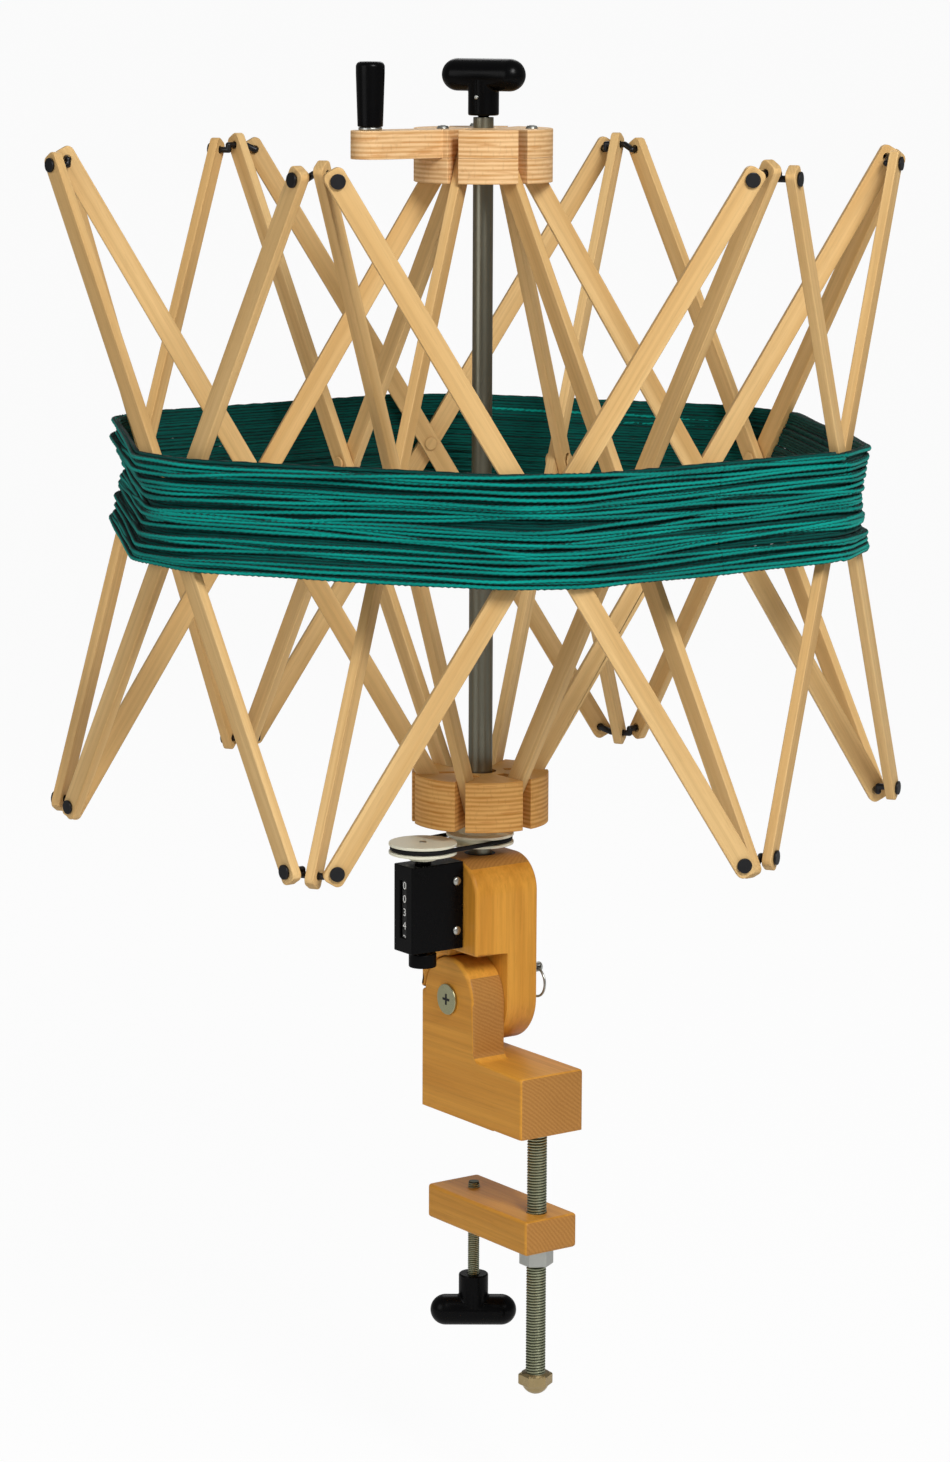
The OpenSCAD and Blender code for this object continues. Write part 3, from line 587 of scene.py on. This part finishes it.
def thread(x, low, high, r, pitch, depth, steps=28):
    turns = int((high - low) / pitch) - 1
    root = r - depth
    profile = ((0.0, root), (0.36, r), (0.54, r), (0.90, root))
    n = len(profile)
    points, faces = [], []
    for i in range(turns * steps + 1):
        a = 2 * pi * i / steps
        for share, radius in profile:
            z = low + pitch * (i / steps + share)
            points.append((x + radius * cos(a), radius * sin(a), z))
    for i in range(turns * steps):
        here, ahead = i * n, (i + 1) * n
        for p in range(n - 1):
            faces.append((here + p, ahead + p, ahead + p + 1, here + p + 1))
        if i + steps + 1 <= turns * steps:
            faces.append((here + n - 1, ahead + n - 1, ahead + steps * n, here + steps * n))
    # Plain rod ends, sunk a little into the first and last turn, close the helix
    sunk = pitch * 0.2
    for z0, z1 in ((low - sunk, low + pitch), (low + turns * pitch - sunk, high)):
        first = len(points)
        for j in range(steps):
            a = 2 * pi * j / steps
            points += [(x + root * cos(a), root * sin(a), z) for z in (z0, z1)]
        lower = [first + 2 * j for j in range(steps)]
        for here, ahead in zip(lower, lower[1:] + lower[:1]):
            faces.append((here, ahead, ahead + 1, here + 1))
        faces.append(lower[::-1])
        faces.append([here + 1 for here in lower])
    return points, faces


def threaded_rod(name, node, body, material, *measures):
    points, faces = thread(*measures)
    rod = mesh_piece(name, points, faces, material, body, "zinc_steel", False)
    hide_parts(node)
    print(name, "faces:", len(rod.data.polygons))


threaded_rod("threaded_post", "clamp_post", "base", post_metal,
             POST_X, -0.2035, 0.0375, POST_R, POST_PITCH, POST_DEPTH)

# %% [markdown]
# A domed cap nut ends the post. Turned shapes are stacks of rings, joined
# rank by rank; a stack with six points to a ring makes the nut's flats.


# %% Cap nut
def ring_stack(x, rings, steps=48):
    points, faces = [], []
    for r, z in rings:
        for j in range(steps):
            a = 2 * pi * j / steps
            points.append((x + r * cos(a), r * sin(a), z))
    for i in range(len(rings) - 1):
        here, above = i * steps, (i + 1) * steps
        for j in range(steps):
            q = (j + 1) % steps
            faces.append((here + j, here + q, above + q, above + j))
    faces.append(list(range(steps))[::-1])
    faces.append(list(range((len(rings) - 1) * steps, len(rings) * steps)))
    return points, faces


CAP_R, CAP_TOP, CAP_DOME_Z, CAP_POINT_R = 0.0112, -0.200, -0.2062, 0.0001
slopes = [i * pi / 16 for i in range(7, 0, -1)]
dome = [(CAP_R * cos(t), CAP_DOME_Z - CAP_R * sin(t)) for t in slopes]
dome = [(CAP_POINT_R, CAP_DOME_Z - CAP_R)] + dome + [(CAP_R, CAP_DOME_Z), (CAP_R, CAP_TOP)]
flats = [(0.0126, -0.2098), (0.0138, -0.2088), (0.0138, -0.2012), (0.0126, -0.2002)]
mesh_piece("cap_nut_dome", *ring_stack(POST_X, dome), yellow_zinc, "base", "zinc_steel")
mesh_piece("cap_nut_flats", *ring_stack(POST_X, flats, 6), yellow_zinc, "base", "zinc_steel", False)
print("cap nut rings:", len(dome), "and", len(flats))

# %% [markdown]
# The clamp screw is the same thread again, thinner and finer. Its black handle
# is a solid of its own, dressed above.

# %% Clamp screw
threaded_rod("threaded_clamp_screw", "clamp_screw", "clamp_screw", screw_metal,
             SCREW_X, -0.153, -0.0621, SCREW_R, SCREW_PITCH, SCREW_DEPTH)

# %% [markdown]
# The skein is one long yarn, laid round the cage turn by turn. Each turn lies
# flat where it crosses a pair of slats and runs straight between; the flat is
# wider near the top and foot of the band, because the slats spread there. An
# average over a short run takes the kinks out, as the yarn's stiffness would.

# %% Path of a turn
SLAT_OUT, MID_Z, SKEIN_H = 0.3007, 0.5080, 0.086
CROSSING_HALF, CORNER_EASE = 0.0098, 0.016


def turn_of_yarn(apothem, height, step):
    flat = CROSSING_HALF + abs(height) * tan(SPREAD)
    corners = []
    for k in range(6):
        d = radians(FIRST_TIP + TIP_STEP / 2 + TIP_STEP * k)
        for s in (-flat, flat):
            corners.append((apothem * cos(d) - s * sin(d), apothem * sin(d) + s * cos(d)))
    corners = np.array(corners + corners[:1])
    run = np.concatenate([[0], np.cumsum(np.hypot(*np.diff(corners, axis=0).T))])
    at = np.linspace(0, run[-1], int(run[-1] / step), endpoint=False)
    path = np.stack([np.interp(at, run, corners[:, i]) for i in (0, 1)], 1)
    width = max(1, int(CORNER_EASE / step))
    return sum(np.roll(path, j, 0) for j in range(-width, width + 1)) / (2 * width + 1)


print("points in a turn:", len(turn_of_yarn(SLAT_OUT, 0.0, 0.0024)))

# %% [markdown]
# A neat spiral would look like a machine's spool. On a hand-wound skein every
# turn meets each slat crossing at a height of its own and runs straight to the
# next, so turns cross at slight angles, now over, now under.

# %% Lay of the turns
YARN_R, OVER_UNDER = 0.0021, 0.0013
SLOT_STRAY, SWAY, SWAY_WAVES = 0.007, 0.2, (5, 9, 14)
HEIGHT_EASE = 0.018


def lay(apothem, turns, stray, step, seed):
    rng = np.random.default_rng(seed)
    rows = SKEIN_H - 2 * YARN_R - 0.001
    slots = np.cumsum(rng.uniform(1 - stray / SLOT_STRAY, 1 + stray / SLOT_STRAY, turns + 1))
    slots = (slots - slots[0]) / (slots[-1] - slots[0]) - 0.5
    corner = np.arange(6 * turns + 1) / 6
    height = np.interp(corner, np.arange(turns + 1), slots) * rows
    height = height + rng.normal(0, stray, len(corner))
    height = np.clip(height, -rows / 2 * 0.99, rows / 2 * 0.99)
    lift = rng.uniform(-1, 1, 2 * len(corner)) * OVER_UNDER
    path = []
    for i in range(turns):
        flat = turn_of_yarn(apothem, slots[i] * rows, step)
        at = i + np.linspace(0, 1, len(flat), endpoint=False)
        waves = sum(rng.uniform(-1, 1) * np.sin(2 * pi * n * at + rng.uniform(0, 6.3))
                    for n in SWAY_WAVES)
        z = np.interp(at, corner, height) + waves * stray * SWAY
        far = 1 + np.interp(at, np.arange(len(lift)) / 12, lift) / apothem
        path.append(np.column_stack([flat * far[:, None], np.clip(z, -rows / 2, rows / 2) + MID_Z]))
    path = np.concatenate(path)
    width = max(1, int(HEIGHT_EASE / step))
    average = np.ones(2 * width + 1) / (2 * width + 1)
    path[:, 2] = np.convolve(np.pad(path[:, 2], width, "edge"), average, "valid")
    return path


print("strands side by side in the band:", int(SKEIN_H / (2 * YARN_R)))

# %% [markdown]
# The yarn is two plies twisted together. Two separate strands would double the
# mesh; one section with a waist, turning as it goes, gives the twist in real
# geometry. A full layer lies underneath and a looser one over it.

# %% Two-ply yarn
PLY_PITCH, PLY_BODY, PLY_SWELL = 0.011, 0.82, 0.18


def yarn(off_slats, turns, stray, step, sides, seed):
    path = lay(SLAT_OUT + off_slats, turns, stray, step, seed)
    ahead = np.gradient(path, axis=0)
    ahead /= np.linalg.norm(ahead, axis=1)[:, None]
    out = np.cross(ahead, [0, 0, 1.0])
    out /= np.linalg.norm(out, axis=1)[:, None]
    up = np.cross(out, ahead)
    run = np.concatenate([[0], np.cumsum(np.linalg.norm(np.diff(path, axis=0), axis=1))])
    twist = run * 2 * pi / PLY_PITCH
    rings = []
    for j in range(sides):
        a = 2 * pi * j / sides
        r = YARN_R * (PLY_BODY + PLY_SWELL * np.cos(2 * (a - twist)))
        rings.append(path + out * (r * np.cos(a))[:, None] + up * (r * np.sin(a))[:, None])
    print("yarn laid:", turns, "turns,", round(float(run[-1]), 1), "m")
    return np.stack(rings, 1), np.degrees(np.arctan2(path[:, 1], path[:, 0])) - FIRST_TIP


under = yarn(0.0027, turns=36, stray=0.0003, step=0.0080, sides=6, seed=4)
over = yarn(0.0064, turns=26, stray=0.0042, step=0.0024, sides=8, seed=9)

# %% [markdown]
# Wool is matt and fuzzy, dyed a little unevenly. Hairs could be grown on it,
# but at this distance fine noise is enough. Hardly any light comes back from
# between two strands, and in the photograph those gaps are almost black, so
# the sides that face up and down, into the gaps, are coloured darker.


# %% Wool
def wool(name, pale, deep, tip, gap):
    f = Finish(name, Sheen_Weight=0.06, Sheen_Roughness=0.5, Specular_IOR_Level=0.08)
    x, y, z = f.axes()
    fuzz = f.noise(f.place(), 1500.0, 4.0, 0.7)
    dye = f.noise(f.vector(x * 9, y * 9, z * 190), 1.0, 3.0, 0.6)
    strand = f.mix(f.rise(dye, 0.32, 0.68), tint(*deep), tint(*pale))
    strand = f.mix(fuzz * 0.5, strand, tint(*tip))
    crevice = f.rise(f.facing((0, 0, 1)), 0.35, 0.95)
    f.set(Base_Color=f.mix(crevice, strand, tint(*gap)), Roughness=fuzz * 0.15 + 0.78)
    f.bump(fuzz, 0.6, 0.0006)
    return f.material


teal = wool("teal wool", pale=(0.001, 0.330, 0.268), deep=(0.0, 0.105, 0.088),
            tip=(0.004, 0.41, 0.335), gap=(0.0, 0.020, 0.018))
# Painted shade: the layer underneath is the same wool coloured much darker, as if in the shadow of
# the layer over it.
teal_under_shaded = wool("teal wool underneath, painted shade", pale=(0.0, 0.085, 0.070), deep=(0.0, 0.036, 0.031),
                  tip=(0.002, 0.12, 0.098), gap=(0.0, 0.010, 0.009))
print("wool:", teal.name, "/", teal_under_shaded.name)

# %% [markdown]
# When the cage folds, the skein has to come in with it. A rope simulation
# would be slow, and a pose has to follow from the joints alone. So the skein is
# cut at every tip and every slat crossing: sector() takes the stretch of all
# turns between two directions. At the crossing a stretch runs on a little,
# thinner, inside the next one, so that no gap shows between them.

# %% Cut out a stretch
TONGUE = 0.82


def sector(layer, low, high, lap, count):
    rings, direction = layer
    sides = rings.shape[1]
    start, end = low - lap[0], high + lap[1]
    inside = (direction - start) % 360 < end - start
    full = (direction - low) % 360 < high - low
    middle = rings.mean(1, keepdims=True)
    rings = np.where(full[:, None, None], rings, middle + (rings - middle) * TONGUE)
    edges = np.flatnonzero(np.diff(np.concatenate([[0], inside.astype(int), [0]])))
    points, faces = [], []
    for first, last in zip(edges[::2], edges[1::2]):
        run = rings[first:min(last + 1, len(rings))]
        points.append(run.reshape(-1, 3))
        for i in range(len(run) - 1):
            here, ahead = count + i * sides, count + (i + 1) * sides
            for j in range(sides):
                q = (j + 1) % sides
                faces.append((here + j, here + q, ahead + q, ahead + j))
        tail = count + (len(run) - 1) * sides
        if first == 0:
            faces.append([count + j for j in range(sides)][::-1])
        if last == len(rings):
            faces.append([tail + j for j in range(sides)])
        count += len(run) * sides
    return np.concatenate(points), faces


print("faces in one stretch:", len(sector(over, 0, TIP_STEP / 2, (0, 0), 0)[1]))

# %% [markdown]
# Each of the twelve stretches runs from a tip at one end to a slat crossing at
# the other.

# %% Skein stretches
LAP = 1.6
TIP_HOLD_R, CROSSING_HOLD_R = 0.274, 0.3055


def ring_point(degrees, r):
    a = radians(FIRST_TIP + degrees)
    return Vector((r * cos(a), r * sin(a), MID_Z))


def stretch(name, tip, crossing):
    low, high = min(tip, crossing), max(tip, crossing)
    lap = (0, LAP) if tip == low else (LAP, 0)
    points, faces = sector(under, low, high, lap, 0)
    more, upper = sector(over, low, high, lap, len(points))
    points = np.concatenate([points, more])
    piece = mesh_piece(name, points, faces + upper, teal_under_shaded, None, "yarn")
    piece.data.materials.append(teal)
    piece.data.polygons.foreach_set("material_index", [0] * len(faces) + [1] * len(upper))
    ring_point(tip, TIP_HOLD_R)
    ring_point(crossing, CROSSING_HOLD_R)
    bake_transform(piece)
    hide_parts("yarn_skein")


for k in range(1, 7):
    tip, following = TIP_STEP * (k - 1), TIP_STEP * k
    crossing = tip + TIP_STEP // 2
    stretch(f"skein_{k}_a", tip, crossing)
    stretch(f"skein_{k}_b", following, crossing)
print("skein stretches:", 2 * 6)

# %% [markdown]
# The counter shows five white numbers, one on each wheel. A picture of digits
# would blur up close; text objects stay sharp, and Blender's own font will do.

# %% Counter numbers
DIGIT_SIZE, DIGIT_RELIEF = 0.0088, 0.00008
FIRST_WHEEL, WHEEL_PITCH = Vector((0.008, -0.0783, 0.1945)), 0.01072


def number(text, at):
    curve = bpy.data.curves.new("digit", "FONT")
    curve.body, curve.size, curve.extrude = text, DIGIT_SIZE, DIGIT_RELIEF
    curve.align_x, curve.align_y = "CENTER", "CENTER"
    made = bpy.data.objects.new("digit_" + text, curve)
    bpy.context.collection.objects.link(made)
    made.matrix_world = Matrix.Translation(at) @ Matrix.Rotation(pi / 2, 4, "X")
    made.data.materials.append(digit_white)
    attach(made, "head")


COUNT = "00342"
for i, text in enumerate(COUNT):
    number(text, FIRST_WHEEL - Vector((0, 0, WHEEL_PITCH * i)))
print("counter reads:", COUNT)

# %% [markdown]
# Small screws hold the counter on the head, and a set screw holds the upper
# handle on its rod. Their button heads are ring stacks again, turned to face
# the way the screw points.


# %% Screws
def turned(points, axis, at):
    turn = Vector((0, 0, 1)).rotation_difference(Vector(axis)).to_matrix()
    return [turn @ Vector(p) + Vector(at) for p in points]


def button_head(name, at, axis, r, h, body):
    crown = [(r * cos(t), h * (0.35 + 0.65 * sin(t))) for t in (0.4, 0.8, 1.1)]
    points, faces = ring_stack(0, [(r, 0), (r, h * 0.35)] + crown, 40)
    mesh_piece(name, turned(points, axis, at), faces, zinc, body, "zinc_steel")


for i, z in enumerate((0.156, 0.196)):
    button_head(f"counter_screw_{i}", (0.0211, -0.0375, z), (1, 0, 0), 0.0036, 0.0022, "head")
button_head("set_screw", (0.0055, -0.0110, 0.8075), (0.45, -0.89, 0), 0.0016, 0.0004, "lock_handle")
print("button heads: 3")

# %% [markdown]
# The pivot bolt and the hub screws have a cross recess for the screwdriver.
# From any sensible distance its shade is just a black cross, so a thin black
# cross lies on each head as painted shade, and no hole is cut.

# %% Cross recesses
RECESS_THICK = 0.0002
HUB_SCREW_R, HUB_SCREW_TOP = 0.040, 0.78636


def recess_shade_cross(name, at, axis, r, body):
    w = r * 0.22
    outline = [(w, r), (w, w), (r, w), (r, -w), (w, -w), (w, -r),
               (-w, -r), (-w, -w), (-r, -w), (-r, w), (-w, w), (-w, r)]
    n = len(outline)
    points = [(x, y, z) for z in (0, RECESS_THICK) for x, y in outline]
    faces = [list(range(n)), list(range(n, 2 * n))[::-1]]
    faces += [(i, i + n, (i + 1) % n + n, (i + 1) % n) for i in range(n)]
    # The black cross is painted shade standing in for the recess.
    mesh_piece(name, turned(points, axis, at), faces, black_steel, body, "black_metal", False)


recess_shade_cross("pivot_drive_shade", (0, -0.03266, 0.095), (0, -1, 0), 0.0045, "base")
for i, a in enumerate((33.2, 153.2, 273.2)):
    at = (HUB_SCREW_R * cos(radians(a)), HUB_SCREW_R * sin(radians(a)), HUB_SCREW_TOP)
    recess_shade_cross(f"hub_screw_drive_shade_{i}", at, (0, 0, 1), 0.0022, "upper_hub")
print("recesses: 4")

# %% [markdown]
# A plain studio, as in the photograph: white all round and hardly a shadow. A
# white floor lit by lamps alone would go grey at the back, so to the camera it
# mostly glows, while to the part it is an ordinary pale floor.

# %% Floor
FLOOR_HALF, FLOOR_Z, FLOOR_GLOW = 900, -0.3100, 0.95


def camera_sees(tree):
    return Value(tree, tree.nodes.new("ShaderNodeLightPath").outputs["Is Camera Ray"])


def lay_floor():
    floor = bpy.data.meshes.new("floor")
    corners = [(-1, -1), (1, -1), (1, 1), (-1, 1)]
    corners = [(x * FLOOR_HALF, y * FLOOR_HALF, FLOOR_Z) for x, y in corners]
    floor.from_pydata(corners, [], [(0, 1, 2, 3)])
    f = Finish("floor", Base_Color=tint(0.86, 0.86, 0.86), Roughness=0.9)
    glow = f.tree.nodes.new("ShaderNodeEmission")
    share = camera_sees(f.tree) * FLOOR_GLOW
    pale = Value(f.tree, f.shader.outputs[0])
    both = f.node("MixShader", {}, {0: share, 1: pale, 2: Value(f.tree, glow.outputs[0])})
    output = next(n for n in f.tree.nodes if n.type == "OUTPUT_MATERIAL")
    plug(f.tree, both, output.inputs[0])
    floor.materials.append(f.material)
    ground = bpy.data.objects.new("floor", floor)
    bpy.context.collection.objects.link(ground)


lay_floor()
print("floor at", FLOOR_Z, "m")

# %% [markdown]
# One large soft lamp stands at the camera's right, a weaker one at its left,
# and one behind lifts the far side. The sky is white to the camera and dim to
# the part, so that the lamps decide the shading.

# %% Lamps and sky
LAMPS = (("key", (2.4, -0.4, 2.2), 70, 1.0),
         ("fill", (0.2, -2.8, 1.2), 17, 1.6),
         ("back", (-2.2, 1.6, 2.2), 16, 1.6))
LAMPS_AIM = Vector((0, 0, 0.4))
SKY_LIGHT = 0.24


def hang_lamp(name, at, watts, size):
    lamp = bpy.data.lights.new(name, "AREA")
    lamp.energy, lamp.size = watts, size
    made = bpy.data.objects.new(name, lamp)
    aim = (LAMPS_AIM - Vector(at)).to_track_quat("-Z", "Y")
    made.matrix_world = Matrix.Translation(at) @ aim.to_matrix().to_4x4()
    bpy.context.collection.objects.link(made)


def white_sky():
    world = bpy.data.worlds.new("sky")
    bpy.context.scene.world = world
    world.use_nodes = True
    tree = world.node_tree
    sky = next(n for n in tree.nodes if n.type == "BACKGROUND")
    plug(tree, camera_sees(tree) * (1 - SKY_LIGHT) + SKY_LIGHT, sky.inputs["Strength"])
    plug(tree, tint(1, 1, 1), sky.inputs["Color"])


for lamp in LAMPS:
    hang_lamp(*lamp)
white_sky()
bpy.context.scene.view_settings.view_transform = "Standard"
print("lamps:", [lamp[0] for lamp in LAMPS])

# %% [markdown]
